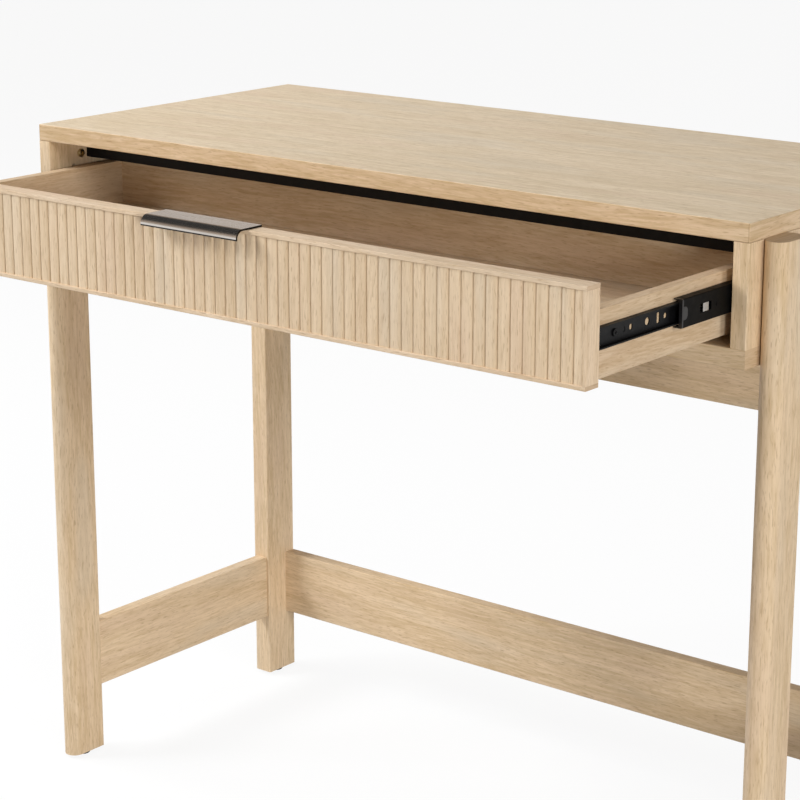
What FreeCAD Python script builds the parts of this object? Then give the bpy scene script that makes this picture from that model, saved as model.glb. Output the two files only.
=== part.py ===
import FreeCAD, Part
import math
import os

V = FreeCAD.Vector
X_AXIS = V(1, 0, 0)
Y_AXIS = V(0, 1, 0)
Z_AXIS = V(0, 0, 1)
ORIGIN = V(0, 0, 0)

# A writing desk with one wide drawer, drawn pulled out as it rests. All lengths are in millimetres.
# The desk is laid out with the front of its top at y = 0 and the drawer shut, then every moving piece
# is drawn forward by its share of the drawer's opening and the whole desk is centred over its footprint.

# Top and overall size
desk_height = 760.0
top_width = 900.0
top_depth = 412.0
top_thickness = 18.0
top_ease = 1.2

# Drawer case
opening_height = 96.5
side_panel_thickness = 16.0
bottom_panel_thickness = 18.0
panel_ease = 0.8
back_panel_thickness = 16.0
back_panel_height = 274.0
spare_hole_diameter = 5.0
spare_hole_depth = 10.0
spare_hole_from_front = 35.0
spare_hole_below_top = 31.0

# Legs and stretchers
leg_thickness = 24.0
leg_depth = 48.0
leg_ease = 1.5
front_leg_setback = 18.0
stretcher_height = 80.0
stretcher_thickness = 16.0
stretcher_bottom_height = 80.0
stretcher_ease = 1.0

# Foot glides
glide_height = 4.0
glide_diameter = 17.0
glide_ease = 1.0
glide_pin_diameter = 4.0
glide_pin_length = 12.0

# Steel bar under the top
bar_height = 23.0
bar_flange_depth = 20.0
bar_wall = 2.0
bar_from_front = 55.0
bar_end_gap = 0.4
bar_screw_count = 4
bar_screw_end_inset = 60.0
bar_screw_length = 14.0

# Bolts that hold the legs to the case
leg_bolt_diameter = 6.0
leg_bolt_reach = 12.0
leg_bolt_head_diameter = 9.5
leg_bolt_head_height = 3.0
leg_bolt_head_ease = 2.0
leg_bolt_socket_width = 4.0
leg_bolt_socket_depth = 1.8
leg_bolt_from_inner_leg_edge = 20.0
leg_bolt_upper_drop = 18.0
leg_bolt_lower_drop = 80.0
insert_diameter = 10.0
insert_length = 13.0

# Wooden dowels of the frame
dowel_diameter = 8.0
dowel_reach = 16.0
stretcher_dowel_edge_inset = 20.0
top_dowel_reach = 10.0
top_dowel_count = 3
top_dowel_end_inset = 90.0

# Cam fittings of the two back boards
cam_diameter = 15.0
cam_depth = 12.0
cam_from_end = 34.0
cam_slot_width = 2.0
cam_slot_depth = 1.5
cam_bolt_diameter = 6.0
cam_bolt_thread_diameter = 5.0
cam_bolt_thread_reach = 11.0
cam_edge_inset = 26.0

# Screws that hold the bottom panel
case_screw_count = 3
case_screw_end_inset = 60.0
case_screw_diameter = 4.5
case_screw_length = 48.0
case_screw_head_diameter = 9.0
case_screw_head_height = 3.0
case_screw_cross_length = 5.0
case_screw_cross_width = 1.1
case_screw_cross_depth = 2.0

# Small screws
small_screw_diameter = 3.5
small_screw_head_diameter = 7.0
small_screw_head_height = 1.5
small_screw_head_ease = 0.7
small_screw_cross_length = 3.8
small_screw_cross_width = 0.9
small_screw_cross_depth = 0.8

# Drawer front
drawer_opening = 222.0
drawer_side_reveal = 2.0
drawer_top_reveal = 2.4
drawer_bottom_reveal = 6.0
drawer_edging = 4.0
drawer_edging_ease = 0.5
drawer_front_thickness = 19.0
reed_recess = 1.0
reed_pitch = 12.93
reed_offset = -1.85
reed_depth = 1.8
reed_base = 4.2

# Drawer box
drawer_side_thickness = 12.0
drawer_side_height = 59.5
drawer_side_lift = 2.0
drawer_side_length = 300.0
drawer_back_thickness = 12.0
drawer_ease = 0.8
drawer_bottom_thickness = 5.0
drawer_bottom_lift = 8.0
drawer_groove_depth = 5.0
drawer_dowel_diameter = 6.0
drawer_dowel_long_reach = 16.0
drawer_dowel_short_reach = 9.0
drawer_dowel_top_inset = 9.0
drawer_dowel_bottom_inset = 20.0

# Edge pull
pull_length = 120.0
pull_wall = 1.8
pull_projection = 14.2
pull_drop = 8.2
pull_bend_radius = 9.0
pull_back_flange = 20.0
pull_ease = 0.7
pull_screw_spacing = 80.0
pull_screw_length = 10.0

# Telescopic slides
slide_space = 12.7
slide_length = 300.0
slide_front_gap = 2.0
slide_above_side_bottom = 36.5
slide_wall = 1.2
slide_corner = 0.9
cabinet_member_height = 35.0
cabinet_member_depth = 9.6
middle_member_height = 26.0
middle_member_depth = 8.6
middle_member_front_inset = 15.5
middle_member_web_gap = 1.2
drawer_member_height = 19.0
drawer_member_depth = 6.0
middle_travel_share = 0.5
outer_cage_travel_share = 0.25
inner_cage_travel_share = 0.75
cabinet_screw_places = (37.0, 165.0, 261.0)
cabinet_screw_length = 13.0
drawer_screw_places = (34.0, 165.0, 261.0)
drawer_screw_length = 10.0
front_dimple_place = 47.6
front_dimple_diameter = 5.5
oval_hole_place = 59.0
oval_hole_length = 4.6
oval_hole_height = 5.0
round_hole_place = 84.0
round_hole_diameter = 6.9
tall_slot_place = 101.0
tall_slot_length = 4.8
tall_slot_height = 9.6
small_hole_place = 112.0
small_hole_diameter = 5.2
window_dimple_place = 52.5
window_dimple_diameter = 4.5
dimple_depth = 0.4
slot_corner_share = 0.33
window_place = 27.0
window_length = 18.0
window_height = 8.0
stop_length = 9.0
stop_stand = 1.6
stop_overlap = 2.0

# Plastic bumpers on the front of the middle members
bumper_front = 2.0
bumper_tongue_length = 8.0
bumper_tongue_depth = 2.2
bumper_tongue_height = 18.0
bumper_pad_length = 7.0
bumper_pad_height = 12.0
bumper_pad_corner = 4.0

# Ball cages between the slide members
cage_start = 98.0
cage_length = 128.0
cage_wall = 0.8
cage_width = 5.0
ball_count = 11
ball_end_inset = 7.0

# Clearances
fit_gap = 0.05
hole_gap = 0.2
running_gap = 0.05

# Places worked out from the sizes above
half_width = top_width / 2
under_top = desk_height - top_thickness
opening_floor = under_top - opening_height
case_bottom = opening_floor - bottom_panel_thickness
panel_inner = half_width - side_panel_thickness
leg_outer = half_width + leg_thickness
case_depth = top_depth - back_panel_thickness
front_leg_back = front_leg_setback + leg_depth
back_leg_front = top_depth - leg_depth
stretcher_top_height = stretcher_bottom_height + stretcher_height
front_half_width = panel_inner - drawer_side_reveal
front_bottom = opening_floor + drawer_bottom_reveal
front_top = under_top - drawer_top_reveal
reed_half_width = front_half_width - drawer_edging
reed_bed = reed_recess + reed_depth
reed_pull = reed_recess - reed_depth
reed_back = reed_bed + reed_base
side_outer = panel_inner - slide_space
side_inner = side_outer - drawer_side_thickness
side_bottom = front_bottom + drawer_side_lift
side_top = side_bottom + drawer_side_height
side_back = drawer_front_thickness + drawer_side_length
box_bottom = side_bottom + drawer_bottom_lift
slide_height = side_bottom + slide_above_side_bottom
slide_start = drawer_front_thickness + slide_front_gap
centring_shift = (drawer_opening + pull_projection - top_depth) / 2


# Building blocks

def block(x_start, x_end, y_start, y_end, z_start, z_end):
    """A square-cornered block between two corners."""
    return Part.makeBox(x_end - x_start, y_end - y_start, z_end - z_start, V(x_start, y_start, z_start))


def rod(start, axis, diameter, length):
    """A round rod that leaves start along axis."""
    return Part.makeCylinder(diameter / 2, length, start, axis)


def runs_along(edge, axis):
    """True for a straight edge that lies along axis."""
    ends = edge.Vertexes
    if len(ends) < 2 or edge.Curve.TypeId != "Part::GeomLine":
        return False
    direction = ends[1].Point.sub(ends[0].Point).normalize()
    return abs(abs(direction.dot(axis)) - 1) < Part.Precision.confusion()


def eased(shape, radius, axis=None, keep=None):
    """Rounds the edges that lie along axis, or all of them, where keep agrees with the edge's middle."""
    edges = []
    for edge in shape.Edges:
        wanted = axis is None or runs_along(edge, axis)
        if wanted and (keep is None or keep(edge.CenterOfMass)):
            edges.append(edge)
    return shape.makeFillet(radius, edges)


def without(shape, cutters):
    """Cuts every cutter out of shape."""
    for cutter in cutters:
        shape = shape.cut(cutter)
    return shape


def both_sides(shape):
    """The shape and its mirror image across the desk's middle."""
    return [shape, shape.mirror(ORIGIN, X_AXIS)]


def mirrored(shape):
    return shape.mirror(ORIGIN, X_AXIS)


def spread(start, end, count):
    """Evenly spread places from start to end."""
    step = (end - start) / (count - 1)
    return [start + step * index for index in range(count)]


def place_and_write(node, shapes, travel_share=0):
    """Draws a node forward by its share of the drawer's opening, centres it and writes its file."""
    if not isinstance(shapes, list):
        shapes = [shapes]
    moved = []
    for shape in shapes:
        copy = shape.copy()
        copy.translate(V(0, centring_shift - travel_share * drawer_opening, 0))
        moved.append(copy)
    whole = moved[0] if len(moved) == 1 else Part.makeCompound(moved)
    whole.exportStep(os.path.join("parts", node + ".step"))


def screw_cross(face, axis, length, width, depth):
    """The cross for a screwdriver, sunk along axis from the middle of a head's outer face."""
    bars = []
    for along, across in ((length, width), (width, length)):
        bars.append(Part.makeBox(along, across, depth, V(-along / 2, -across / 2, 0)))
    cross = bars[0].fuse(bars[1])
    cross.Placement = FreeCAD.Placement(face, FreeCAD.Rotation(Z_AXIS, axis))
    return cross


def rounded_head(seat, axis, diameter, height, ease):
    """A screw head that stands on seat along axis, with its outer rim rounded."""
    face = seat.add(V(axis).multiply(height))
    head = rod(seat, axis, diameter, height)
    return eased(head, ease, None, lambda middle: middle.distanceToPoint(face) < fit_gap)


def pan_screw(seat, axis, length):
    """A screw whose rounded head sits outside seat and whose shank goes in along axis."""
    out = axis.negative()
    head = rounded_head(seat, out, small_screw_head_diameter, small_screw_head_height, small_screw_head_ease)
    screw = head.fuse(rod(seat, axis, small_screw_diameter, length))
    face = seat.add(V(out).multiply(small_screw_head_height))
    return screw.cut(screw_cross(face, axis, small_screw_cross_length, small_screw_cross_width,
                                 small_screw_cross_depth))


def pan_screw_hole(seat, axis, length):
    return rod(seat, axis, small_screw_diameter + 2 * fit_gap, length + hole_gap)


def flush_screw(seat, axis, head_diameter, head_height, diameter, length):
    """A countersunk screw whose head is level with seat."""
    head = Part.makeCone(head_diameter / 2, diameter / 2, head_height, seat, axis)
    return head.fuse(rod(seat, axis, diameter, length))


def flush_screw_hole(seat, axis, head_diameter, head_height, diameter, length):
    head = Part.makeCone(head_diameter / 2 + fit_gap, diameter / 2 + fit_gap, head_height, seat, axis)
    return head.fuse(rod(seat, axis, diameter + 2 * fit_gap, length + hole_gap))


# Places of the fixings

def leg_bolt_seats():
    """Where the heads of the right legs' bolts sit on the inner face of the case."""
    seats = []
    for along in (front_leg_back - leg_bolt_from_inner_leg_edge,
                  back_leg_front + leg_bolt_from_inner_leg_edge):
        for drop in (leg_bolt_upper_drop, leg_bolt_lower_drop):
            seats.append(V(panel_inner, along, under_top - drop))
    return seats


def stretcher_dowel_middles():
    """The middles of the dowels at both ends of the right side stretcher."""
    middles = []
    for along in (front_leg_back, back_leg_front):
        for height in (stretcher_bottom_height + stretcher_dowel_edge_inset,
                       stretcher_top_height - stretcher_dowel_edge_inset):
            middles.append(V(half_width + leg_thickness / 2, along, height))
    return middles


def back_board_middle():
    """The y of the middle plane of the two boards at the back."""
    return top_depth - back_panel_thickness / 2


def cam_heights(bottom, height):
    """Heights of the cam fittings at the end of a back board."""
    return (bottom + cam_edge_inset, bottom + height - cam_edge_inset)


def all_cam_heights():
    low = cam_heights(stretcher_bottom_height, stretcher_height)
    high = cam_heights(under_top - back_panel_height, back_panel_height)
    return low + high


def top_dowel_places():
    return spread(top_dowel_end_inset, case_depth - top_dowel_end_inset, top_dowel_count)


def case_screw_seats():
    seats = []
    for along in spread(case_screw_end_inset, case_depth - case_screw_end_inset, case_screw_count):
        seats.append(V(half_width - side_panel_thickness / 2, along, case_bottom))
    return seats


def bar_screw_seats():
    seats = []
    reach = panel_inner - bar_screw_end_inset
    for across in spread(-reach, reach, bar_screw_count):
        seats.append(V(across, bar_from_front + (bar_flange_depth + bar_wall) / 2, under_top - bar_wall))
    return seats


# Holes for the fixings

def leg_bolt_holes():
    """Round holes through the right side panel."""
    diameter = leg_bolt_diameter + 2 * hole_gap
    return [rod(seat, X_AXIS, diameter, side_panel_thickness) for seat in leg_bolt_seats()]


def insert_holes():
    holes = []
    for seat in leg_bolt_seats():
        start = V(half_width, seat.y, seat.z)
        holes.append(rod(start, X_AXIS, insert_diameter + 2 * fit_gap, insert_length + hole_gap))
    return holes


def stretcher_dowel_holes():
    holes = []
    for middle in stretcher_dowel_middles():
        start = middle.sub(V(0, dowel_reach + hole_gap, 0))
        holes.append(rod(start, Y_AXIS, dowel_diameter + 2 * fit_gap, 2 * (dowel_reach + hole_gap)))
    return holes


def cam_bolt_holes_in_leg():
    holes = []
    for height in all_cam_heights():
        start = V(half_width, back_board_middle(), height)
        diameter = cam_bolt_thread_diameter + 2 * fit_gap
        holes.append(rod(start, X_AXIS, diameter, cam_bolt_thread_reach + hole_gap))
    return holes


def back_board_holes(bottom, height):
    """The cam pockets and bolt holes at the right end of a back board."""
    holes = []
    for level in cam_heights(bottom, height):
        pocket = V(half_width - cam_from_end, top_depth, level)
        holes.append(rod(pocket, Y_AXIS.negative(), cam_diameter + 2 * fit_gap, cam_depth + hole_gap))
        start = V(half_width - cam_from_end, back_board_middle(), level)
        holes.append(rod(start, X_AXIS, cam_bolt_diameter + 2 * hole_gap, cam_from_end))
    return holes


def top_dowel_holes():
    holes = []
    for along in top_dowel_places():
        start = V(half_width - side_panel_thickness / 2, along, under_top - dowel_reach - hole_gap)
        length = dowel_reach + top_dowel_reach + 2 * hole_gap
        holes.append(rod(start, Z_AXIS, dowel_diameter + 2 * fit_gap, length))
    return holes


def case_screw_holes():
    holes = []
    for seat in case_screw_seats():
        holes.append(flush_screw_hole(seat, Z_AXIS, case_screw_head_diameter, case_screw_head_height,
                                      case_screw_diameter, case_screw_length))
    return holes


# Fixed pieces

def tabletop():
    slab = eased(block(-half_width, half_width, 0, top_depth, under_top, desk_height), top_ease)
    holes = [hole for right in top_dowel_holes() for hole in both_sides(right)]
    holes += [pan_screw_hole(seat, Z_AXIS, bar_screw_length) for seat in bar_screw_seats()]
    return without(slab, holes)


def right_side_panel():
    panel = block(panel_inner, half_width, 0, case_depth, opening_floor, under_top)
    panel = eased(panel, panel_ease, Z_AXIS, lambda middle: middle.y < panel_ease)
    spare = V(panel_inner, spare_hole_from_front, under_top - spare_hole_below_top)
    holes = leg_bolt_holes() + top_dowel_holes() + case_screw_holes() + cabinet_screw_holes()
    holes.append(rod(spare, X_AXIS, spare_hole_diameter, spare_hole_depth))
    return without(panel, holes)


def bottom_panel():
    panel = block(-half_width, half_width, 0, case_depth, case_bottom, opening_floor)
    panel = eased(panel, panel_ease, X_AXIS, lambda middle: middle.y < panel_ease)
    return without(panel, [hole for right in case_screw_holes() for hole in both_sides(right)])


def back_board(bottom, height):
    front = top_depth - back_panel_thickness
    board = block(-half_width, half_width, front, top_depth, bottom, bottom + height)
    board = eased(board, stretcher_ease, X_AXIS, lambda middle: middle.z < under_top - stretcher_ease)
    holes = [hole for right in back_board_holes(bottom, height) for hole in both_sides(right)]
    return without(board, holes)


def right_front_leg():
    """A leg whose front edge is a full half round."""
    radius = leg_thickness / 2
    middle = half_width + radius
    shoulder = front_leg_setback + radius
    corners = [V(leg_outer, shoulder, glide_height), V(leg_outer, front_leg_back, glide_height),
               V(half_width, front_leg_back, glide_height), V(half_width, shoulder, glide_height)]
    nose = Part.Arc(corners[3], V(middle, front_leg_setback, glide_height), corners[0]).toShape()
    outline = Part.Wire(Part.makePolygon(corners).Edges + [nose])
    leg = Part.Face(outline).extrude(V(0, 0, under_top - glide_height))
    leg = eased(leg, leg_ease, Z_AXIS, lambda point: point.y > front_leg_back - leg_ease)
    return without(leg, insert_holes() + stretcher_dowel_holes() + [glide_pin_hole(front_leg_setback)])


def right_back_leg():
    leg = block(half_width, leg_outer, back_leg_front, top_depth, glide_height, under_top)
    leg = eased(leg, leg_ease, Z_AXIS)
    holes = insert_holes() + stretcher_dowel_holes() + cam_bolt_holes_in_leg()
    return without(leg, holes + [glide_pin_hole(back_leg_front)])


def right_side_stretcher():
    inset = (leg_thickness - stretcher_thickness) / 2
    rail = block(half_width + inset, leg_outer - inset, front_leg_back, back_leg_front,
                 stretcher_bottom_height, stretcher_top_height)
    return without(eased(rail, stretcher_ease, Y_AXIS), stretcher_dowel_holes())


def support_bar():
    """A steel angle: an upright flange towards the front and a flat one against the top."""
    reach = panel_inner - bar_end_gap
    back = bar_from_front + bar_flange_depth
    upright = block(-reach, reach, bar_from_front, bar_from_front + bar_wall,
                    under_top - bar_height, under_top)
    flat = block(-reach, reach, bar_from_front, back, under_top - bar_wall, under_top)
    holes = [pan_screw_hole(seat, Z_AXIS, bar_wall) for seat in bar_screw_seats()]
    return without(upright.fuse(flat).removeSplitter(), holes)


def glide_place(leg_front):
    return V(half_width + leg_thickness / 2, leg_front + leg_depth / 2, 0)


def glide_pin_hole(leg_front):
    start = glide_place(leg_front)
    return rod(start, Z_AXIS, glide_pin_diameter + 2 * fit_gap, glide_height + glide_pin_length + hole_gap)


def right_glide(leg_front):
    foot = rod(glide_place(leg_front), Z_AXIS, glide_diameter, glide_height)
    foot = eased(foot, glide_ease, None, lambda middle: middle.z < glide_ease)
    pin = rod(glide_place(leg_front), Z_AXIS, glide_pin_diameter, glide_height + glide_pin_length)
    return foot.fuse(pin)


# Fixings of the frame

def leg_bolts():
    bolts = []
    for seat in leg_bolt_seats():
        head = rounded_head(seat, X_AXIS.negative(), leg_bolt_head_diameter, leg_bolt_head_height,
                            leg_bolt_head_ease)
        bolt = head.fuse(rod(seat, X_AXIS, leg_bolt_diameter, side_panel_thickness + leg_bolt_reach))
        socket = Part.makePolygon(hexagon(leg_bolt_socket_width / math.sqrt(3)))
        pocket = Part.Face(socket).extrude(V(leg_bolt_socket_depth, 0, 0))
        pocket.translate(seat.sub(V(leg_bolt_head_height, 0, 0)))
        bolts += both_sides(bolt.cut(pocket))
    return bolts


def hexagon(radius):
    """The corners of a closed hexagon across the x axis."""
    corner_count = 6
    angles = [2 * math.pi * index / corner_count for index in range(corner_count + 1)]
    return [V(0, radius * math.cos(angle), radius * math.sin(angle)) for angle in angles]


def leg_inserts():
    inserts = []
    for seat in leg_bolt_seats():
        start = V(half_width, seat.y, seat.z)
        sleeve = rod(start, X_AXIS, insert_diameter, insert_length)
        bore = rod(start, X_AXIS, leg_bolt_diameter + 2 * fit_gap, insert_length)
        inserts += both_sides(sleeve.cut(bore))
    return inserts


def frame_dowels():
    dowels = []
    for middle in stretcher_dowel_middles():
        start = middle.sub(V(0, dowel_reach, 0))
        dowels += both_sides(rod(start, Y_AXIS, dowel_diameter, 2 * dowel_reach))
    for along in top_dowel_places():
        start = V(half_width - side_panel_thickness / 2, along, under_top - dowel_reach)
        dowels += both_sides(rod(start, Z_AXIS, dowel_diameter, dowel_reach + top_dowel_reach))
    return dowels


def cam_bolts():
    bolts = []
    for height in all_cam_heights():
        tip = V(half_width - cam_from_end, back_board_middle(), height)
        end = V(half_width, back_board_middle(), height)
        bolt = rod(tip, X_AXIS, cam_bolt_diameter, cam_from_end)
        bolts += both_sides(bolt.fuse(rod(end, X_AXIS, cam_bolt_thread_diameter, cam_bolt_thread_reach)))
    return bolts


def cam_discs():
    discs = []
    for height in all_cam_heights():
        seat = V(half_width - cam_from_end, top_depth, height)
        disc = rod(seat, Y_AXIS.negative(), cam_diameter, cam_depth)
        tip = V(half_width - cam_from_end, back_board_middle(), height)
        mouth = rod(tip.sub(V(hole_gap, 0, 0)), X_AXIS, cam_bolt_diameter + 2 * fit_gap, cam_diameter)
        slot = block(seat.x - cam_diameter, seat.x + cam_diameter, top_depth - cam_slot_depth, top_depth,
                     height - cam_slot_width / 2, height + cam_slot_width / 2)
        discs += both_sides(without(disc, [mouth, slot]))
    return discs


def case_screws():
    screws = []
    for seat in case_screw_seats():
        screw = flush_screw(seat, Z_AXIS, case_screw_head_diameter, case_screw_head_height,
                            case_screw_diameter, case_screw_length)
        cross = screw_cross(seat, Z_AXIS, case_screw_cross_length, case_screw_cross_width,
                            case_screw_cross_depth)
        screws += both_sides(screw.cut(cross))
    return screws


def bar_screws():
    return [pan_screw(seat, Z_AXIS, bar_screw_length) for seat in bar_screw_seats()]


# Drawer

def drawer_backing():
    board = block(-reed_half_width, reed_half_width, reed_back, drawer_front_thickness,
                  front_bottom + drawer_edging, front_top - drawer_edging)
    holes = [hole for right in drawer_front_dowel_holes() for hole in both_sides(right)]
    holes += [pan_screw_hole(seat, Y_AXIS.negative(), pull_screw_length) for seat in pull_screw_seats()]
    return without(board, holes)


def groove_places():
    """Where the grooves lie across the drawer front. A part of a reed is left at each end."""
    reach = reed_half_width - reed_depth
    first = reed_offset - reed_pitch / 2
    to_left = int((reach + first) / reed_pitch)
    to_right = int((reach - first) / reed_pitch)
    return [first + reed_pitch * step for step in range(-to_left, to_right + 1)]


def reed_edge(start, left, right, floor):
    """The front of the reed that starts at start, from left to right. It is flat in the middle and falls off
    faster and faster towards its two grooves."""
    poles = [V(start + reed_pitch * step / 4, reed_pull if step % 2 else reed_bed, floor) for step in range(5)]
    curve = Part.BezierCurve()
    curve.setPoles(poles)
    if right - left < reed_pitch:
        curve.segment(max(0, (left - start) / reed_pitch), min(1, (right - start) / reed_pitch))
    return curve.toShape()


def reed_edges(floor):
    """The front line of the reeded panel, from left to right, at height floor. The end reeds are cut off."""
    grooves = groove_places()
    edges = []
    for start in [grooves[0] - reed_pitch, *grooves]:
        left = max(start, -reed_half_width)
        right = min(start + reed_pitch, reed_half_width)
        edges.append(reed_edge(start, left, right, floor))
    return edges


def reeded_panel():
    floor = front_bottom + drawer_edging
    front = reed_edges(floor)
    left = front[0].firstVertex().Point
    right = front[-1].lastVertex().Point
    back_left = V(-reed_half_width, reed_back, floor)
    back_right = V(reed_half_width, reed_back, floor)
    rim = Part.makePolygon([right, back_right, back_left, left])
    face = Part.Face(Part.Wire(front + rim.Edges))
    return face.extrude(V(0, 0, front_top - drawer_edging - floor))


def edging_front_edge(middle):
    return middle.y < drawer_edging_ease


def drawer_edge_strip(bottom):
    strip = block(-front_half_width, front_half_width, 0, drawer_front_thickness,
                  bottom, bottom + drawer_edging)
    return eased(strip, drawer_edging_ease, X_AXIS, edging_front_edge)


def drawer_edge_right():
    strip = block(reed_half_width, front_half_width, 0, drawer_front_thickness,
                  front_bottom + drawer_edging, front_top - drawer_edging)
    return eased(strip, drawer_edging_ease, Z_AXIS, edging_front_edge)


def drawer_dowel_heights():
    return (side_bottom + drawer_dowel_bottom_inset, side_top - drawer_dowel_top_inset)


def drawer_front_dowel_holes():
    holes = []
    for height in drawer_dowel_heights():
        start = V(side_inner + drawer_side_thickness / 2,
                  drawer_front_thickness - drawer_dowel_short_reach - hole_gap, height)
        length = drawer_dowel_short_reach + drawer_dowel_long_reach + 2 * hole_gap
        holes.append(rod(start, Y_AXIS, drawer_dowel_diameter + 2 * fit_gap, length))
    return holes


def drawer_back_dowel_holes():
    holes = []
    for height in drawer_dowel_heights():
        start = V(side_inner + drawer_dowel_short_reach + hole_gap,
                  side_back - drawer_back_thickness / 2, height)
        length = drawer_dowel_short_reach + drawer_dowel_long_reach + 2 * hole_gap
        holes.append(rod(start, X_AXIS.negative(), drawer_dowel_diameter + 2 * fit_gap, length))
    return holes


def drawer_dowels():
    dowels = []
    length = drawer_dowel_short_reach + drawer_dowel_long_reach
    for height in drawer_dowel_heights():
        across = side_inner + drawer_side_thickness / 2
        front = V(across, drawer_front_thickness - drawer_dowel_short_reach, height)
        dowels += both_sides(rod(front, Y_AXIS, drawer_dowel_diameter, length))
        back = V(side_inner + drawer_dowel_short_reach, side_back - drawer_back_thickness / 2, height)
        dowels += both_sides(rod(back, X_AXIS.negative(), drawer_dowel_diameter, length))
    return dowels


def drawer_right_side():
    board = block(side_inner, side_outer, drawer_front_thickness, side_back, side_bottom, side_top)
    board = eased(board, drawer_ease, Y_AXIS, lambda middle: middle.z > side_top - drawer_ease)
    groove = block(side_inner, side_inner + drawer_groove_depth, drawer_front_thickness, side_back,
                   box_bottom - fit_gap, box_bottom + drawer_bottom_thickness + fit_gap)
    holes = drawer_front_dowel_holes() + drawer_back_dowel_holes() + drawer_screw_holes()
    return without(board, [groove] + holes)


def drawer_back():
    front = side_back - drawer_back_thickness
    board = block(-side_inner, side_inner, front, side_back, side_bottom, side_top)
    board = eased(board, drawer_ease, X_AXIS, lambda middle: middle.z > side_top - drawer_ease)
    groove = block(-side_inner, side_inner, front, front + drawer_groove_depth,
                   box_bottom - fit_gap, box_bottom + drawer_bottom_thickness + fit_gap)
    holes = [hole for right in drawer_back_dowel_holes() for hole in both_sides(right)]
    return without(board, [groove] + holes)


def drawer_bottom():
    reach = side_inner + drawer_groove_depth - hole_gap
    back = side_back - drawer_back_thickness + drawer_groove_depth - hole_gap
    return block(-reach, reach, drawer_front_thickness, back,
                 box_bottom, box_bottom + drawer_bottom_thickness)


# Edge pull

def pull_screw_seats():
    """Where the pull's screws bear on the back of the drawer front."""
    half = pull_screw_spacing / 2
    height = front_top - pull_back_flange / 2
    return [V(across, drawer_front_thickness, height) for across in (-half, half)]


def edge_pull():
    """A bent strip: a flange behind the drawer front, a plate over its top and a rounded lip before it."""
    half = pull_length / 2
    top = front_top + pull_wall
    outer = -pull_projection
    inner = outer + pull_wall
    back = drawer_front_thickness + pull_wall
    bend = outer + pull_bend_radius
    bend_level = top - pull_bend_radius
    lip = front_top - pull_drop
    reach = pull_bend_radius * math.sin(math.pi / 4)
    inside = (pull_bend_radius - pull_wall) * math.sin(math.pi / 4)

    def at(along, height):
        return V(-half, along, height)

    outside_arc = Part.Arc(at(bend, top), at(bend - reach, bend_level + reach), at(outer, bend_level))
    inside_arc = Part.Arc(at(inner, bend_level), at(bend - inside, bend_level + inside),
                          at(bend, front_top))
    lip_line = [at(outer, bend_level), at(outer, lip), at(inner, lip), at(inner, bend_level)]
    flange = [at(bend, front_top), at(drawer_front_thickness, front_top),
              at(drawer_front_thickness, front_top - pull_back_flange),
              at(back, front_top - pull_back_flange), at(back, top), at(bend, top)]
    edges = [outside_arc.toShape()] + Part.makePolygon(lip_line).Edges
    edges += [inside_arc.toShape()] + Part.makePolygon(flange).Edges
    strip = Part.Face(Part.Wire(edges)).extrude(V(pull_length, 0, 0))
    strip = eased(strip, pull_ease, X_AXIS, lambda middle: middle.z < lip + pull_ease)
    return without(strip, [pan_screw_hole(seat, Y_AXIS, pull_wall) for seat in pull_screw_seats()])


def pull_screws():
    screws = []
    for seat in pull_screw_seats():
        outer_seat = seat.add(V(0, pull_wall, 0))
        screws.append(pan_screw(outer_seat, Y_AXIS.negative(), pull_wall + pull_screw_length))
    return screws


# Slides, drawn on the right

def channel(web_outer, web_inner, lip, height, start, end):
    """A channel section: a web between two x places and flanges that reach from it to lip."""
    low = slide_height - height / 2
    high = slide_height + height / 2
    left = min(web_outer, lip)
    right = max(web_outer, lip)
    solid = block(left, right, start, end, low, high)
    solid = eased(solid, slide_corner, Y_AXIS, lambda middle: abs(middle.x - web_outer) < slide_corner)
    gap_left = min(web_inner, lip)
    gap_right = max(web_inner, lip)
    return solid.cut(block(gap_left, gap_right, start, end, low + slide_wall, high - slide_wall))


def cabinet_member():
    member = channel(panel_inner, panel_inner - slide_wall, panel_inner - cabinet_member_depth,
                     cabinet_member_height, slide_start, slide_start + slide_length)
    return without(member, cabinet_screw_holes())


def middle_web_outer():
    return panel_inner - slide_wall - middle_member_web_gap


def middle_member_front():
    return slide_start + middle_member_front_inset


def middle_member():
    web = middle_web_outer()
    member = channel(web, web - slide_wall, web - middle_member_depth, middle_member_height,
                     middle_member_front(), slide_start + slide_length)
    start = middle_member_front() + window_place
    window = block(web - slide_wall, web, start, start + window_length,
                   slide_height - window_height / 2, slide_height + window_height / 2)
    dimple = rod(V(web, middle_member_front() + window_dimple_place, slide_height), X_AXIS.negative(),
                 window_dimple_diameter, dimple_depth)
    return without(member, [window, dimple, bumper_pad(bumper_pad_length, bumper_pad_height)])


def bumper_pad(length, height):
    """A pad as thick as the web, at the front of the middle member, rounded at its far corners."""
    web = middle_web_outer()
    front = middle_member_front()
    pad = block(web - slide_wall, web, front, front + length,
                slide_height - height / 2, slide_height + height / 2)
    return eased(pad, bumper_pad_corner, X_AXIS, lambda middle: middle.y > front + length / 2)


def slide_stop():
    """A bright stop that shows through the window and sits on the web's inner face above and below it."""
    web = middle_web_outer()
    start = middle_member_front() + window_place + (window_length - stop_length) / 2
    reach = window_height / 2 - hole_gap
    body = block(web - slide_wall, web, start, start + stop_length,
                 slide_height - reach, slide_height + reach)
    reach = window_height / 2 + stop_overlap
    plate = block(web - slide_wall - stop_stand, web - slide_wall, start, start + stop_length,
                  slide_height - reach, slide_height + reach)
    return body.fuse(plate).removeSplitter()


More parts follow.
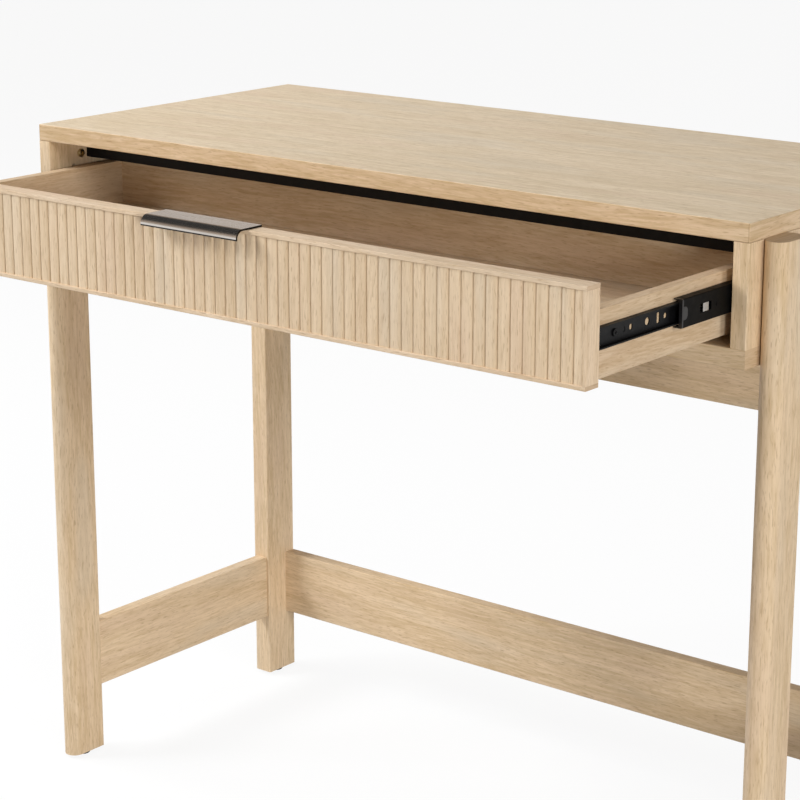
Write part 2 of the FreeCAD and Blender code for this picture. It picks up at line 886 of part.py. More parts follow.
def drawer_member():
    web = side_outer
    member = channel(web, web + slide_wall, web + drawer_member_depth, drawer_member_height,
                     slide_start, slide_start + slide_length)
    dimple = rod(V(web + slide_wall, slide_start + front_dimple_place, slide_height), X_AXIS.negative(),
                 front_dimple_diameter, dimple_depth)
    return without(member, drawer_member_holes() + drawer_screw_holes() + [dimple])


def drawer_member_holes():
    """The punched holes of the drawer member's web, from front to back."""
    web = V(side_outer, slide_start, slide_height)
    holes = []
    for place, length, height in ((oval_hole_place, oval_hole_length, oval_hole_height),
                                  (tall_slot_place, tall_slot_length, tall_slot_height)):
        start = web.y + place - length / 2
        slot = block(web.x, web.x + slide_wall, start, start + length,
                     web.z - height / 2, web.z + height / 2)
        holes.append(eased(slot, slot_corner_share * min(length, height), X_AXIS))
    for place, diameter in ((round_hole_place, round_hole_diameter),
                            (small_hole_place, small_hole_diameter)):
        holes.append(rod(web.add(V(0, place, 0)), X_AXIS, diameter, slide_wall))
    return holes


def cabinet_screw_seats():
    return [V(panel_inner - slide_wall, slide_start + place, slide_height) for place in cabinet_screw_places]


def cabinet_screw_holes():
    holes = []
    for seat in cabinet_screw_seats():
        holes.append(flush_screw_hole(seat, X_AXIS, small_screw_head_diameter, slide_wall,
                                      small_screw_diameter, cabinet_screw_length))
    return holes


def cabinet_screws():
    screws = []
    for seat in cabinet_screw_seats():
        screw = flush_screw(seat, X_AXIS, small_screw_head_diameter, slide_wall,
                            small_screw_diameter, cabinet_screw_length)
        cross = screw_cross(seat, X_AXIS, small_screw_cross_length, small_screw_cross_width,
                            small_screw_cross_depth)
        screws += both_sides(screw.cut(cross))
    return screws


def drawer_screw_seats():
    return [V(side_outer + slide_wall, slide_start + place, slide_height) for place in drawer_screw_places]


def drawer_screw_holes():
    return [pan_screw_hole(seat, X_AXIS.negative(), drawer_screw_length) for seat in drawer_screw_seats()]


def drawer_screws():
    screws = []
    for seat in drawer_screw_seats():
        screws += both_sides(pan_screw(seat, X_AXIS.negative(), drawer_screw_length))
    return screws


def slide_bumper():
    """A plastic cap on the front end of the middle member, with a tongue along its web and a pad in it."""
    web = middle_web_outer()
    end = middle_member_front()
    cap = channel(web, web - slide_wall - bumper_tongue_depth, web - middle_member_depth,
                  middle_member_height, end - bumper_front, end)
    tongue = block(web - slide_wall - bumper_tongue_depth, web - slide_wall, end - bumper_front,
                   end + bumper_tongue_length, slide_height - bumper_tongue_height / 2,
                   slide_height + bumper_tongue_height / 2)
    pad = bumper_pad(bumper_pad_length - hole_gap, bumper_pad_height - 2 * hole_gap)
    return cap.fuse([tongue, pad]).removeSplitter()


# Ball cages: an outer pair of strips round the middle member and an inner pair inside it

def race_gap(outer_member_height, inner_member_height):
    """The inner and outer height, from the slide's middle, of the space that the balls run in."""
    return (inner_member_height / 2, outer_member_height / 2 - slide_wall)


def outer_race():
    return race_gap(cabinet_member_height, middle_member_height)


def inner_race():
    return race_gap(middle_member_height, drawer_member_height)


def outer_ball_line():
    """The x of the balls between the cabinet member and the middle member."""
    reach = panel_inner - cabinet_member_depth
    return (reach + middle_web_outer()) / 2


def inner_ball_line():
    """The x of the balls between the middle member and the drawer member."""
    lip = middle_web_outer() - middle_member_depth
    return (max(lip, side_outer) + side_outer + drawer_member_depth) / 2


def ball_places():
    start = slide_start + cage_start
    return spread(start + ball_end_inset, start + cage_length - ball_end_inset, ball_count)


def ball_radius(race):
    return (race[1] - race[0]) / 2 - running_gap


def balls(race, line):
    level = (race[0] + race[1]) / 2
    shapes = []
    for along in ball_places():
        for side in (-1, 1):
            shapes.append(Part.makeSphere(ball_radius(race), V(line, along, slide_height + side * level)))
    return shapes


def ball_cage(race, line):
    level = (race[0] + race[1]) / 2
    start = slide_start + cage_start
    hole_diameter = 2 * (ball_radius(race) + fit_gap)
    strips = []
    for side in (-1, 1):
        middle = slide_height + side * level
        strip = block(line - cage_width / 2, line + cage_width / 2, start, start + cage_length,
                      middle - cage_wall / 2, middle + cage_wall / 2)
        holes = [rod(V(line, along, middle - cage_wall), Z_AXIS, hole_diameter, 2 * cage_wall)
                 for along in ball_places()]
        strips.append(without(strip, holes))
    return strips


# Nodes

def write_pair(name, right, travel_share=0):
    """Writes a right-hand piece and its mirror image as right_NAME and left_NAME."""
    rights = right if isinstance(right, list) else [right]
    place_and_write("right_" + name, rights, travel_share)
    place_and_write("left_" + name, [mirrored(shape) for shape in rights], travel_share)


def write_frame():
    place_and_write("tabletop", tabletop())
    write_pair("side_panel", right_side_panel())
    place_and_write("bottom_panel", bottom_panel())
    place_and_write("back_panel", back_board(under_top - back_panel_height, back_panel_height))
    write_pair("front_leg", right_front_leg())
    write_pair("back_leg", right_back_leg())
    write_pair("side_stretcher", right_side_stretcher())
    place_and_write("back_stretcher", back_board(stretcher_bottom_height, stretcher_height))
    place_and_write("support_bar", support_bar())
    write_pair("front_glide", right_glide(front_leg_setback))
    write_pair("back_glide", right_glide(back_leg_front))


def write_fixings():
    place_and_write("support_bar_screws", bar_screws())
    place_and_write("leg_bolts", leg_bolts())
    place_and_write("leg_inserts", leg_inserts())
    place_and_write("frame_dowels", frame_dowels())
    place_and_write("cam_bolts", cam_bolts())
    place_and_write("cam_discs", cam_discs())
    place_and_write("bottom_panel_screws", case_screws())


def write_drawer():
    drawn = 1
    place_and_write("drawer_backing", drawer_backing(), drawn)
    place_and_write("reeded_panel", reeded_panel(), drawn)
    place_and_write("drawer_top_edging", drawer_edge_strip(front_top - drawer_edging), drawn)
    place_and_write("drawer_bottom_edging", drawer_edge_strip(front_bottom), drawn)
    write_pair("drawer_edging", drawer_edge_right(), drawn)
    write_pair("drawer_side", drawer_right_side(), drawn)
    place_and_write("drawer_back", drawer_back(), drawn)
    place_and_write("drawer_bottom", drawer_bottom(), drawn)
    place_and_write("drawer_dowels", drawer_dowels(), drawn)
    place_and_write("edge_pull", edge_pull(), drawn)
    place_and_write("edge_pull_screws", pull_screws(), drawn)


def write_slides():
    drawn = 1
    write_pair("cabinet_member", cabinet_member())
    place_and_write("cabinet_member_screws", cabinet_screws())
    write_pair("middle_member", middle_member(), middle_travel_share)
    write_pair("slide_stop", slide_stop(), middle_travel_share)
    write_pair("slide_bumper", slide_bumper(), middle_travel_share)
    write_pair("outer_ball_cage", ball_cage(outer_race(), outer_ball_line()), outer_cage_travel_share)
    write_pair("outer_balls", balls(outer_race(), outer_ball_line()), outer_cage_travel_share)
    write_pair("inner_ball_cage", ball_cage(inner_race(), inner_ball_line()), inner_cage_travel_share)
    write_pair("inner_balls", balls(inner_race(), inner_ball_line()), inner_cage_travel_share)
    write_pair("drawer_member", drawer_member(), drawn)
    place_and_write("drawer_member_screws", drawer_screws(), drawn)


os.makedirs("parts", exist_ok=True)
write_frame()
write_fixings()
write_drawer()
write_slides()
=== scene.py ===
import math

import bpy
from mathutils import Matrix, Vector


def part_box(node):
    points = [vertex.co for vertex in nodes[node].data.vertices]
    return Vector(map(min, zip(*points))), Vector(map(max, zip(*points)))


# The looks of a writing desk with one open drawer: oak boards, a brushed edge pull and black slides.
# All lengths are in metres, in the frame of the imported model.
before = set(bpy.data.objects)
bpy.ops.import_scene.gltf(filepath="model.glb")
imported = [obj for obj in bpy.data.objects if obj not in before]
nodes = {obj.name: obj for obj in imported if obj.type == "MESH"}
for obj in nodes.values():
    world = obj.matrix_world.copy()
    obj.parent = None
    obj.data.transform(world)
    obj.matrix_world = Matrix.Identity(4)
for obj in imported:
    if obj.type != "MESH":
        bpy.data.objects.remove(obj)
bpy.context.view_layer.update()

# Oak tones, as display colours from 0 to 255
top_pale = (231, 213, 185)
top_deep = (209, 188, 155)
band_pale = (216, 190, 157)
band_deep = (190, 162, 123)
frame_pale = (229, 204, 171)
frame_deep = (203, 176, 138)
reed_pale = (230, 207, 176)
reed_deep = (207, 181, 147)
edging_pale = (228, 204, 175)
edging_deep = (206, 180, 147)
inside_pale = (214, 189, 157)
inside_deep = (189, 160, 125)
beech_pale = (226, 199, 165)
beech_deep = (212, 180, 143)
pore_tone = (152, 118, 82)
grey_tone = (211, 200, 182)
pink_tone = (216, 188, 162)
seam_tone = (150, 118, 84)
end_tone = (160, 130, 97)

# The oak's grain: each feature's length along the grain and its width across
drift_size = (0.45, 0.050)
wander_size = (0.40, 0.09)
figure_size = (0.22, 0.014)
streak_size = (0.070, 0.0036)
fleck_size = (0.022, 0.0021)
pore_size = (0.010, 0.0009)
patch_size = (0.20, 0.035)
wander_reach = 0.030
board_offset_span = 4.0

# How much each feature counts, and the levels of noise that its range runs between
drift_weight = 0.16
figure_weight = 0.16
streak_weight = 0.34
fleck_weight = 0.34
depth_levels = (0.36, 0.64)
pore_levels = (0.58, 0.72)
pore_share = 0.40
grey_levels = (0.50, 0.75)
pink_levels = (0.50, 0.25)
patch_share = 0.30
end_facing = 0.7
end_share = 0.40

# The oak's satin lacquer, and the relief of its streaks and open pores
oak_specular = 0.40
oak_roughness = (0.46, 0.56)
roughness_levels = (0.3, 0.7)
streak_relief = 0.5
pore_relief = -1.0
grain_bump = 0.00010
bump_strength = 0.5

# The top: its flat shows where a face looks up or down, and a seam marks where its edge bands meet
flat_facing = (0.55, 0.80)
seam_place = 0.4490
seam_half_width = 0.0007
seam_share = 0.55

# Reeds of the drawer front
reed_pitch = 0.01293
reed_offset = -0.00185
reed_grain_weight = 0.72
reed_pick_weight = 0.30
# Painted shade in the grooves between reeds: a darker colour towards each groove, standing for the shade there
groove_shade_tone = (132, 100, 68)
groove_shade_strength = 0.42
groove_shade_share = 0.09

# Metal and plastic, as display colours from 0 to 255
gunmetal_tone = (222, 217, 211)
gunmetal_streak_tone = (204, 198, 191)
# The pull's cut ends are dark, and this tone also paints a dark reflection along the lower edge of its lip
gunmetal_end_and_reflection_tone = (34, 32, 31)
black_tone = (9, 9, 10)
black_worn_tone = (17, 17, 18)
deep_black_tone = (5, 5, 5)
deep_black_worn_tone = (11, 11, 11)
bright_tone = (214, 213, 208)
bright_streak_tone = (190, 189, 184)
zinc_tone = (186, 188, 190)
zinc_spangle_tone = (160, 163, 166)
brass_tone = (206, 194, 156)
brass_iris_tone = (188, 172, 130)
plastic_tone = (15, 15, 16)
plastic_worn_tone = (25, 25, 27)
nylon_tone = (13, 13, 14)
nylon_worn_tone = (26, 26, 27)

# Brushed metal: its strokes and broader bands along X, its dark cut ends, and a painted dark reflection along the
# lower edge of the pull's lip
stroke_size = (0.060, 0.00025)
stroke_weight = 0.6
stroke_bump = 0.00002
sheen_size = (0.080, 0.004)
sheen_weight = 0.4
brushed_levels = (0.35, 0.65)
brushed_smoother = 0.05
brushed_rougher = 0.07
cut_end_facing = (0.6, 0.8)
lip_reflection_facing = 0.5
pull_lip_height = 0.010
lip_reflection_width = 0.0020
lip_reflection_fade = 0.0010

# Mottling: how much coarser its broad patches are than its grain
mottle_spread = 12
mottle_weight = 0.5
mottle_levels = (0.38, 0.62)

# Noise: how many finer layers it has, and how strong they are
soft_detail = 1.0
plain_detail = 2.0
fine_detail = 3.0
plain_roughness = 0.5
fine_roughness = 0.6

# Camera: where the photograph was taken from. Angles are in degrees.
camera_place = (1.5063, -1.8826, 1.1634)
camera_yaw = 38.889
camera_pitch = 15.277
camera_lens = 108.34
camera_sensor = 36.0
level_tilt = 90.0

# Light: softboxes as (name, place, target, size, power, tint),
# then far walls as (name, azimuth, elevation, spread, strength, tint)
white_tint = (1.0, 1.0, 1.0)
cool_tint = (0.95, 1.0, 1.08)
warm_tint = (1.0, 1.0, 0.98)
softboxes = [
    ("key_softbox", (-2.05, -1.47, 2.14), (0.0, -0.15, 0.50), 0.70, 46.0, cool_tint),
    ("left_softbox", (-2.96, -0.79, 3.33), (0.0, 0.0, 0.76), 1.40, 80.0, white_tint),
    ("right_softbox", (4.130, -3.235, 1.086), (0.0, -0.45, 0.65), 0.87, 107.0, warm_tint),
]
walls = [
    ("left_wall", -50.0, 20.0, 20.0, 0.50, white_tint),
    ("upper_right_wall", 75.0, 20.0, 20.0, 1.15, white_tint),
    ("back_wall", 180.0, 8.0, 20.0, 0.80, white_tint),
]

# The room: its fill light, then what gloss shows of it from the floor up, with the heights where that changes
ambient_level = (0.20, 0.19, 0.19, 1.0)
lower_wall_level = (1.0, 1.0, 1.0, 1.0)
upper_wall_level = (0.45, 0.365, 0.300, 1.0)
upper_wall_shares = (0.08, 0.26)
ceiling_level = (0.05, 0.05, 0.05, 1.0)
ceiling_shares = (0.34, 0.58)

# The floor: white paper, which sends back less light than it shows
floor_half_size = 14.0
floor_tone = (246, 246, 245)
floor_bounce_tone = (160, 158, 155)
floor_glow_share = 0.90

# Display colours to linear light
display_white = 255
srgb_knee = 0.04045
srgb_slope = 12.92
srgb_offset = 0.055
srgb_power = 2.4


# Small helpers

def colour(tone):
    """A display colour from 0 to 255 as linear light with full opacity."""
    linear = []
    for level in tone:
        share = level / display_white
        curved = ((share + srgb_offset) / (1 + srgb_offset)) ** srgb_power
        linear.append(share / srgb_slope if share <= srgb_knee else curved)
    return (*linear, 1.0)


class Graph:
    """A node tree with short calls that add a node and join it to others."""

    def __init__(self, tree):
        self.nodes = tree.nodes
        self.links = tree.links
        self.nodes.clear()

    def add(self, kind, **settings):
        node = self.nodes.new("ShaderNode" + kind)
        for name, value in settings.items():
            setattr(node, name, value)
        return node

    def put(self, socket, value):
        """Gives a socket another node's output or a constant."""
        if isinstance(value, bpy.types.NodeSocket):
            self.links.new(value, socket)
        else:
            socket.default_value = value

    def math(self, operation, first, second=0.0):
        node = self.add("Math", operation=operation)
        self.put(node.inputs[0], first)
        self.put(node.inputs[1], second)
        return node.outputs[0]

    def total(self, weighted):
        """The sum of outputs times their weights."""
        result = None
        for output, weight in weighted:
            part = self.math("MULTIPLY", output, weight)
            result = part if result is None else self.math("ADD", result, part)
        return result

    def vector(self, operation, first, second):
        node = self.add("VectorMath", operation=operation)
        self.put(node.inputs[0], first)
        self.put(node.inputs[1], second)
        return node.outputs[0]

    def split(self, vector):
        node = self.add("SeparateXYZ")
        self.put(node.inputs[0], vector)
        return {axis: node.outputs[axis] for axis in "XYZ"}

    def join(self, first, second, third):
        node = self.add("CombineXYZ")
        for socket, value in zip(node.inputs, (first, second, third)):
            self.put(socket, value)
        return node.outputs[0]

    def noise(self, vector, detail=plain_detail, roughness=plain_roughness):
        node = self.add("TexNoise")
        self.put(node.inputs["Vector"], vector)
        node.inputs["Scale"].default_value = 1.0
        node.inputs["Detail"].default_value = detail
        node.inputs["Roughness"].default_value = roughness
        return node.outputs["Fac"]

    def reach(self, value, low, high, to_low=0.0, to_high=1.0):
        """Maps low..high to to_low..to_high and holds it there outside."""
        node = self.add("MapRange", interpolation_type="SMOOTHSTEP")
        for socket, setting in zip(node.inputs, (value, low, high, to_low, to_high)):
            self.put(socket, setting)
        return node.outputs["Result"]

    def mix(self, share, first, second):
        """A colour between first and second."""
        node = self.add("Mix", data_type="RGBA")
        for socket, value in ((0, share), (6, first), (7, second)):
            self.put(node.inputs[socket], value)
        return node.outputs[2]

    def mix_places(self, share, first, second):
        """A place between first and second."""
        node = self.add("Mix", data_type="VECTOR")
        for socket, value in ((0, share), (4, first), (5, second)):
            self.put(node.inputs[socket], value)
        return node.outputs[1]


class Finish(Graph):
    """A material whose surface is one Principled shader."""

    def __init__(self, name):
        self.material = bpy.data.materials.new(name)
        self.material.use_nodes = True
        super().__init__(self.material.node_tree)
        self.shader = self.add("BsdfPrincipled")
        output = self.add("OutputMaterial")
        self.links.new(self.shader.outputs["BSDF"], output.inputs["Surface"])

    def set(self, socket, value):
        self.put(self.shader.inputs[socket], value)

    def place(self):
        """Where a point of the piece lies, in the piece's own frame."""
        return self.add("TexCoord").outputs["Object"]

    def normal(self):
        return self.split(self.add("NewGeometry").outputs["Normal"])

    def bump(self, height, distance):
        node = self.add("Bump")
        node.inputs["Distance"].default_value = distance
        node.inputs["Strength"].default_value = bump_strength
        self.put(node.inputs["Height"], height)
        self.set("Normal", node.outputs["Normal"])


def sized(finish, place, size):
    """Places in units of a feature's length along the first axis and its width across."""
    length, width = size
    return finish.vector("MULTIPLY", place, (1 / length, 1 / width, 1 / width))


# Oak

def laid_along(finish, parts, grain):
    """A place with its measure along the grain first."""
    across = [axis for axis in "XYZ" if axis != grain]
    return finish.join(parts[grain], parts[across[0]], parts[across[1]])


def board_place(finish, grain, ends):
    """Places on a board, along the grain first, and 1 on faces that cut the grain, which are veneered along ends.
    Each board is cut from another part of the tree."""
    parts = finish.split(finish.place())
    facing_end = finish.math("GREATER_THAN", finish.math("ABSOLUTE", finish.normal()[grain]), end_facing)
    place = finish.mix_places(facing_end, laid_along(finish, parts, grain), laid_along(finish, parts, ends))
    pick = finish.math("MULTIPLY", finish.add("ObjectInfo").outputs["Random"], board_offset_span)
    return finish.vector("ADD", place, finish.join(pick, pick, pick)), facing_end


def wandering(finish, place):
    """Places whose measure across the grain drifts, so that the grain runs in slow curves."""
    sway = finish.noise(sized(finish, place, wander_size), soft_detail)
    aside = finish.math("MULTIPLY", finish.math("SUBTRACT", sway, 0.5), wander_reach)
    return finish.vector("ADD", place, finish.join(0.0, aside, aside))


def oak_grain(finish, place):
    """How deep the oak's colour is, from 0 to 1, where its pores lie, and its streaks."""
    bent = wandering(finish, place)
    drift = finish.noise(sized(finish, place, drift_size))
    figure = finish.noise(sized(finish, bent, figure_size))
    streak = finish.noise(sized(finish, bent, streak_size), fine_detail, fine_roughness)
    fleck = finish.noise(sized(finish, bent, fleck_size))
    depth = finish.total([(drift, drift_weight), (figure, figure_weight),
                          (streak, streak_weight), (fleck, fleck_weight)])
    pores = finish.noise(sized(finish, bent, pore_size), soft_detail)
    return finish.reach(depth, *depth_levels), finish.reach(pores, *pore_levels), streak


def oak_surface(finish, shade, pores, streak):
    """Puts the colour, the satin lacquer and the open pores of oak on a finish."""
    pitted = finish.mix(finish.math("MULTIPLY", pores, pore_share), shade, colour(pore_tone))
    finish.set("Base Color", pitted)
    finish.set("Roughness", finish.reach(streak, *roughness_levels, *oak_roughness))
    finish.set("Specular IOR Level", oak_specular)
    height = finish.total([(streak, streak_relief), (pores, pore_relief)])
    finish.bump(height, grain_bump)


def clouded(finish, place, shade):
    """Broad patches where the staining took a little less colour, or turned a little pink."""
    patches = finish.noise(sized(finish, place, patch_size), soft_detail)
    grey = finish.mix(finish.reach(patches, *grey_levels, 0.0, patch_share), shade, colour(grey_tone))
    return finish.mix(finish.reach(patches, *pink_levels, 0.0, patch_share), grey, colour(pink_tone))


def oak(name, pale, deep, grain, ends):
    """Stained oak boards. Faces that cut the grain soaked up more of the staining."""
    finish = Finish(name)
    place, facing_end = board_place(finish, grain, ends)
    depth, pores, streak = oak_grain(finish, place)
    shade = clouded(finish, place, finish.mix(depth, colour(pale), colour(deep)))
    soaked = finish.mix(finish.math("MULTIPLY", facing_end, end_share), shade, colour(end_tone))
    oak_surface(finish, soaked, pores, streak)
    return finish.material


def oak_top():
    """Pale veneer on the flat of the top, and a yellower band on its edges with a seam at each corner."""
    finish = Finish("oak_top")
    place, _ = board_place(finish, "X", "Y")
    depth, pores, streak = oak_grain(finish, place)
    flat = clouded(finish, place, finish.mix(depth, colour(top_pale), colour(top_deep)))
    band = finish.mix(depth, colour(band_pale), colour(band_deep))
    width = finish.math("ABSOLUTE", finish.split(finish.place())["X"])
    off_seam = finish.math("ABSOLUTE", finish.math("SUBTRACT", width, seam_place))
    seam = finish.reach(off_seam, 0.0, seam_half_width, seam_share, 0.0)
    band = finish.mix(seam, band, colour(seam_tone))
    level = finish.reach(finish.math("ABSOLUTE", finish.normal()["Z"]), *flat_facing)
    oak_surface(finish, finish.mix(level, band, flat), pores, streak)
    return finish.material


def oak_reeds():
    """Upright oak whose colour changes a little from reed to reed. The grooves between reeds are darkened with
    painted shade.
    """
    finish = Finish("oak_reeds")
    place, _ = board_place(finish, "Z", "X")
    depth, pores, streak = oak_grain(finish, place)
    across = finish.math("SUBTRACT", finish.split(finish.place())["X"], reed_offset)
    turns = finish.math("DIVIDE", across, reed_pitch)
    number = finish.math("FLOOR", finish.math("ADD", turns, 0.5))
    pick = finish.add("TexWhiteNoise", noise_dimensions="1D")
    finish.put(pick.inputs["W"], number)
    reed_depth = finish.total([(depth, reed_grain_weight), (pick.outputs["Value"], reed_pick_weight)])
    shade = clouded(finish, place, finish.mix(reed_depth, colour(reed_pale), colour(reed_deep)))
    off_middle = finish.math("ABSOLUTE", finish.math("SUBTRACT", turns, number))
    # Painted shade: the colour darkens towards each groove between the reeds
    groove_shade = finish.reach(off_middle, 0.5 - groove_shade_share, 0.5, 0.0, groove_shade_strength)
    oak_surface(finish, finish.mix(groove_shade, shade, colour(groove_shade_tone)), pores, streak)
    return finish.material


# Metal and plastic

def brushed_metal(name, tone, streak_tone, end_and_reflection_tone, roughness, painted_reflection_height):
    """Metal brushed along the desk's width. Its cut ends are dark, and a painted dark reflection darkens its
    front edge up to a given height.
    """
    finish = Finish(name)
    place = finish.place()
    strokes = finish.noise(sized(finish, place, stroke_size), fine_detail, fine_roughness)
    sheen = finish.noise(sized(finish, place, sheen_size))
    share = finish.total([(strokes, stroke_weight), (sheen, sheen_weight)])
    face = finish.mix(finish.reach(share, *brushed_levels), colour(tone), colour(streak_tone))
    normal = finish.normal()
    ends = finish.reach(finish.math("ABSOLUTE", normal["X"]), *cut_end_facing)
    # Painted dark reflection along the lower edge of the pull's lip
    painted_reflection = finish.reach(finish.split(place)["Z"], painted_reflection_height, painted_reflection_height - lip_reflection_fade)
    painted_reflection = finish.math("MULTIPLY", painted_reflection, finish.math("LESS_THAN", normal["Y"], lip_reflection_facing))
    finish.set("Base Color", finish.mix(finish.math("MAXIMUM", ends, painted_reflection), face, colour(end_and_reflection_tone)))
    finish.set("Metallic", 1.0)
    smooth, rough = roughness - brushed_smoother, roughness + brushed_rougher
    finish.set("Roughness", finish.reach(strokes, *roughness_levels, smooth, rough))
    finish.bump(strokes, stroke_bump)
    return finish.material


def mottled(name, tone, worn_tone, grain_size, metallic, specular, smooth, rough, bump_depth):
    """A finish with fine mottling: plated or painted metal, or moulded plastic."""
    finish = Finish(name)
    place = finish.place()
    broad_size = mottle_spread * grain_size
    fine = finish.noise(sized(finish, place, (grain_size, grain_size)), fine_detail, fine_roughness)
    broad = finish.noise(sized(finish, place, (broad_size, broad_size)))
    share = finish.total([(fine, mottle_weight), (broad, mottle_weight)])
    finish.set("Base Color", finish.mix(finish.reach(share, *mottle_levels), colour(tone), colour(worn_tone)))
    finish.set("Metallic", metallic)
    finish.set("Specular IOR Level", specular)
    finish.set("Roughness", finish.reach(broad, *roughness_levels, smooth, rough))
    finish.bump(fine, bump_depth)
    return finish.material


def dress(names, material):
    for name in names:
        slots = nodes[name].data.materials
        slots.clear()
        slots.append(material)


def pair(name):
    return ["left_" + name, "right_" + name]


def dress_oak():
    dress(["tabletop"], oak_top())
    dress(["reeded_panel"], oak_reeds())
    frame_tones = (frame_pale, frame_deep)
    edging_tones = (edging_pale, edging_deep)
    inside_tones = (inside_pale, inside_deep)
    beech_tones = (beech_pale, beech_deep)
    dress(["back_panel", "back_stretcher"], oak("oak_frame_wide", *frame_tones, "X", "Z"))
    dress(["bottom_panel"], oak("oak_frame_flat", *frame_tones, "X", "Y"))
    dress(pair("side_stretcher"), oak("oak_frame_deep", *frame_tones, "Y", "Z"))
    upright = pair("front_leg") + pair("back_leg") + pair("side_panel")
    dress(upright, oak("oak_frame_tall", *frame_tones, "Z", "Y"))
    dress(["drawer_top_edging", "drawer_bottom_edging"], oak("oak_edging_wide", *edging_tones, "X", "Y"))
    dress(pair("drawer_edging"), oak("oak_edging_tall", *edging_tones, "Z", "Y"))
    dress(["drawer_backing", "drawer_back", "drawer_bottom"], oak("oak_inside_wide", *inside_tones, "X", "Z"))
    dress(pair("drawer_side"), oak("oak_inside_deep", *inside_tones, "Y", "Z"))
    dress(["frame_dowels", "drawer_dowels"], oak("beech_dowel", *beech_tones, "Y", "Z"))


def dress_brushed():
    # The painted dark reflection covers the lowest 2 mm of the pull's lip
    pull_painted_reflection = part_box("edge_pull")[1][2] - pull_lip_height + lip_reflection_width
    gunmetal = brushed_metal("gunmetal", gunmetal_tone, gunmetal_streak_tone, gunmetal_end_and_reflection_tone,
                             roughness=0.22, painted_reflection_height=pull_painted_reflection)
    dress(["edge_pull"], gunmetal)
    bright = brushed_metal("bright_steel", bright_tone, bright_streak_tone, zinc_tone,
                           roughness=0.24, painted_reflection_height=0.0)
    dress(pair("slide_stop"), bright)


def dress_black_steel():
    black = mottled("black_steel", black_tone, black_worn_tone, grain_size=0.0008, metallic=0.0,
                    specular=0.15, smooth=0.40, rough=0.52, bump_depth=0.00003)
    dress(pair("cabinet_member") + pair("drawer_member"), black)
    dress(["support_bar", "support_bar_screws", "cabinet_member_screws", "drawer_member_screws"], black)
    deep = mottled("deep_black_steel", deep_black_tone, deep_black_worn_tone, grain_size=0.0008, metallic=0.0,
                   specular=0.08, smooth=0.44, rough=0.56, bump_depth=0.00003)
    dress(pair("middle_member"), deep)


def dress_plated():
    zinc = mottled("zinc", zinc_tone, zinc_spangle_tone, grain_size=0.0006, metallic=1.0,
                   specular=0.5, smooth=0.28, rough=0.42, bump_depth=0.00002)
    dress(["cam_bolts", "cam_discs", "bottom_panel_screws", "edge_pull_screws"], zinc)
    brass = mottled("brass_plate", brass_tone, brass_iris_tone, grain_size=0.0015, metallic=1.0,
                    specular=0.5, smooth=0.22, rough=0.36, bump_depth=0.00001)
    dress(["leg_bolts", "leg_inserts"], brass)
    ball = mottled("ball_steel", bright_tone, zinc_tone, grain_size=0.0004, metallic=1.0,
                   specular=0.5, smooth=0.10, rough=0.18, bump_depth=0.000005)
    dress(pair("outer_balls") + pair("inner_balls"), ball)


def dress_plastic():
    plastic = mottled("black_plastic", plastic_tone, plastic_worn_tone, grain_size=0.0005, metallic=0.0,
                      specular=0.5, smooth=0.30, rough=0.42, bump_depth=0.00003)
    dress(pair("slide_bumper") + pair("outer_ball_cage") + pair("inner_ball_cage"), plastic)
    nylon = mottled("black_nylon", nylon_tone, nylon_worn_tone, grain_size=0.0007, metallic=0.0,
                    specular=0.35, smooth=0.48, rough=0.62, bump_depth=0.00004)
    dress(pair("front_glide") + pair("back_glide"), nylon)


# Stage, light and camera

def seen_directly(graph):
    """1 for rays that show the backdrop itself: to the camera, in gloss and through glass."""
    path = graph.add("LightPath")
    shown = graph.math("MAXIMUM", path.outputs["Is Camera Ray"], path.outputs["Is Glossy Ray"])
    return graph.math("MAXIMUM", shown, path.outputs["Is Transmission Ray"])


def floor_paper():
    """White paper that glows where it is seen and sends back less light than it shows."""
    material = bpy.data.materials.new("floor_paper")
    material.use_nodes = True
    graph = Graph(material.node_tree)
    seen = seen_directly(graph)
    paper = graph.add("BsdfDiffuse")
    graph.put(paper.inputs["Color"], graph.mix(seen, colour(floor_bounce_tone), colour(floor_tone)))
    glow = graph.add("Emission")
    blend = graph.add("MixShader")
    graph.put(blend.inputs[0], graph.math("MULTIPLY", seen, floor_glow_share))
    graph.put(blend.inputs[1], paper.outputs[0])
    graph.put(blend.inputs[2], glow.outputs[0])
    output = graph.add("OutputMaterial")
    graph.put(output.inputs["Surface"], blend.outputs[0])
    return material


def make_floor():
    mesh = bpy.data.meshes.new("floor")
    half = floor_half_size
    corners = [(-half, -half, 0), (half, -half, 0), (half, half, 0), (-half, half, 0)]
    mesh.from_pydata(corners, [], [(0, 1, 2, 3)])
    mesh.materials.append(floor_paper())
    floor = bpy.data.objects.new("floor", mesh)
    bpy.context.scene.collection.objects.link(floor)


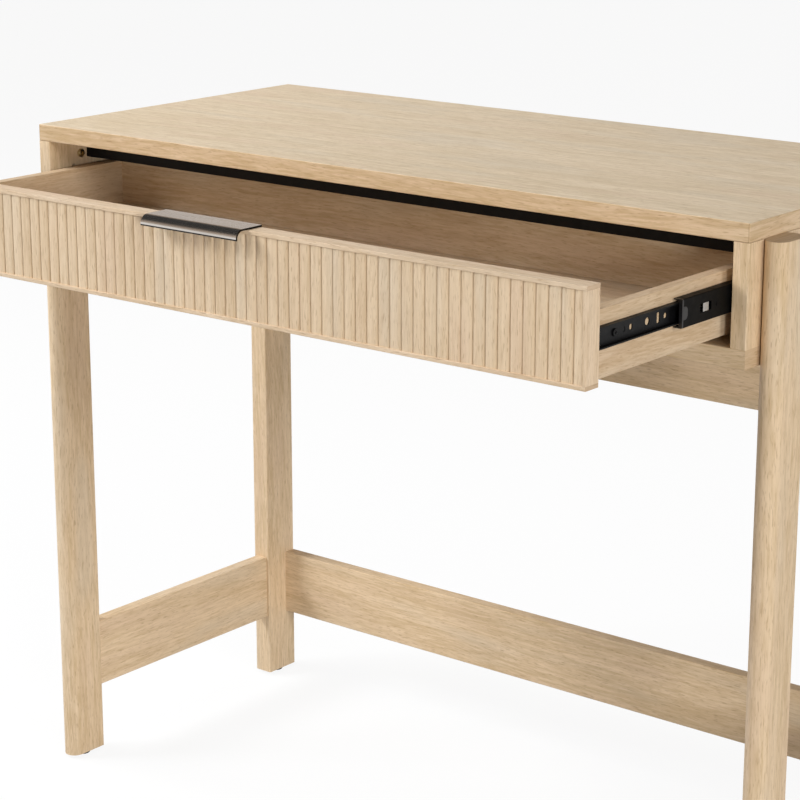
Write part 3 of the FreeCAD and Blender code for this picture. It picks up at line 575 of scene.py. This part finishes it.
def make_world():
    """Even fill light. Gloss shows a white room with dim upper walls and a dark ceiling."""
    world = bpy.data.worlds.new("studio")
    bpy.context.scene.world = world
    world.use_nodes = True
    graph = Graph(world.node_tree)
    height = graph.split(graph.add("TexCoord").outputs["Generated"])["Z"]
    upper = graph.reach(height, *upper_wall_shares)
    ceiling = graph.reach(height, *ceiling_shares)
    room = graph.mix(upper, lower_wall_level, upper_wall_level)
    room = graph.mix(ceiling, room, ceiling_level)
    background = graph.add("Background")
    graph.put(background.inputs["Color"], graph.mix(seen_directly(graph), ambient_level, room))
    output = graph.add("OutputWorld")
    graph.put(output.inputs["Surface"], background.outputs[0])


def hang(name, lamp, tint, place, towards):
    """Hangs a lamp that points in a direction. Gloss shows the room, not the lamp."""
    lamp.color = tint
    stand = bpy.data.objects.new(name, lamp)
    stand.location = place
    stand.rotation_euler = Vector(towards).to_track_quat("-Z", "Y").to_euler()
    stand.visible_camera = False
    stand.visible_glossy = False
    bpy.context.scene.collection.objects.link(stand)


def make_softbox(name, place, target, size, power, tint):
    lamp = bpy.data.lights.new(name, "AREA")
    lamp.size = size
    lamp.energy = power
    hang(name, lamp, tint, place, Vector(target) - Vector(place))


def make_wall(name, azimuth, elevation, spread, strength, tint):
    """Wide light from one side, as from a white wall far off."""
    lamp = bpy.data.lights.new(name, "SUN")
    lamp.angle = math.radians(spread)
    lamp.energy = strength
    turn = math.radians(azimuth)
    tilt = math.radians(elevation)
    level = math.cos(tilt)
    hang(name, lamp, tint, (0.0, 0.0, 0.0), (-level * math.sin(turn), level * math.cos(turn), -math.sin(tilt)))


def make_camera():
    lens = bpy.data.cameras.new("camera")
    lens.lens = camera_lens
    lens.sensor_width = camera_sensor
    camera = bpy.data.objects.new("camera", lens)
    camera.location = camera_place
    camera.rotation_euler = (math.radians(level_tilt - camera_pitch), 0.0, math.radians(camera_yaw))
    bpy.context.scene.collection.objects.link(camera)
    bpy.context.scene.camera = camera


dress_oak()
dress_brushed()
dress_black_steel()
dress_plated()
dress_plastic()
make_floor()
make_world()
for softbox in softboxes:
    make_softbox(*softbox)
for wall in walls:
    make_wall(*wall)
make_camera()
bpy.context.scene.view_settings.view_transform = "Standard"
